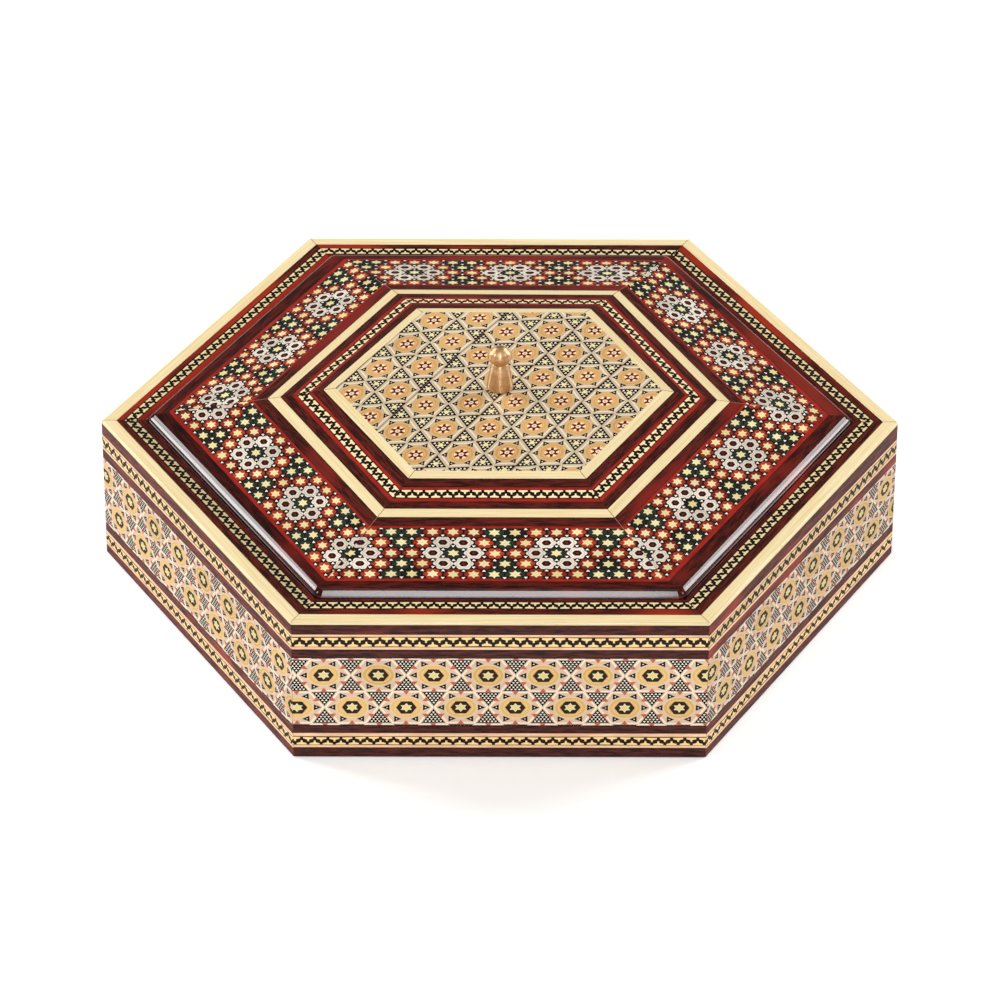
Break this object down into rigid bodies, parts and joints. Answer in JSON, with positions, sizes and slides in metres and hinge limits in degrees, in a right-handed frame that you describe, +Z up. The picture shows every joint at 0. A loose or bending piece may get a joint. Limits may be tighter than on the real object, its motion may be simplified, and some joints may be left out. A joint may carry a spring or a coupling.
{
  "type": "candy dish",
  "caption": "Six-sided wooden candy dish covered in geometric inlay, with a lift-off domed lid and a small turned brass knob.",
  "frame": {"origin": "middle of the underside, on the surface that the dish stands on", "axes": "+X runs from the middle to a corner of the hexagon, +Y to the middle of the back wall, +Z up through the knob; the front wall faces -Y"},
  "size_m": [0.2998, 0.2598, 0.094],
  "materials": {
    "inlaid_wall": "cream, gold, black and white geometric inlay between dark wood strips, under clear lacquer",
    "inlaid_lid": "star inlay on red and dark green round a pale medallion, under clear gloss lacquer",
    "pale_edging": "pale straight-grained wood under clear lacquer",
    "plain_board": "plain stained board",
    "brass": "satin turned brass"
  },
  "bodies": {
    "root": {"wall_front": "inlaid_wall", "wall_front_right": "inlaid_wall", "wall_back_right": "inlaid_wall", "wall_back": "inlaid_wall", "wall_back_left": "inlaid_wall", "wall_front_left": "inlaid_wall", "edging_front": "pale_edging", "edging_front_right": "pale_edging", "edging_back_right": "pale_edging", "edging_back": "pale_edging", "edging_back_left": "pale_edging", "edging_front_left": "pale_edging", "floor_board": "plain_board", "lid": "inlaid_lid", "knob": "brass"}
  },
  "joints": []
}
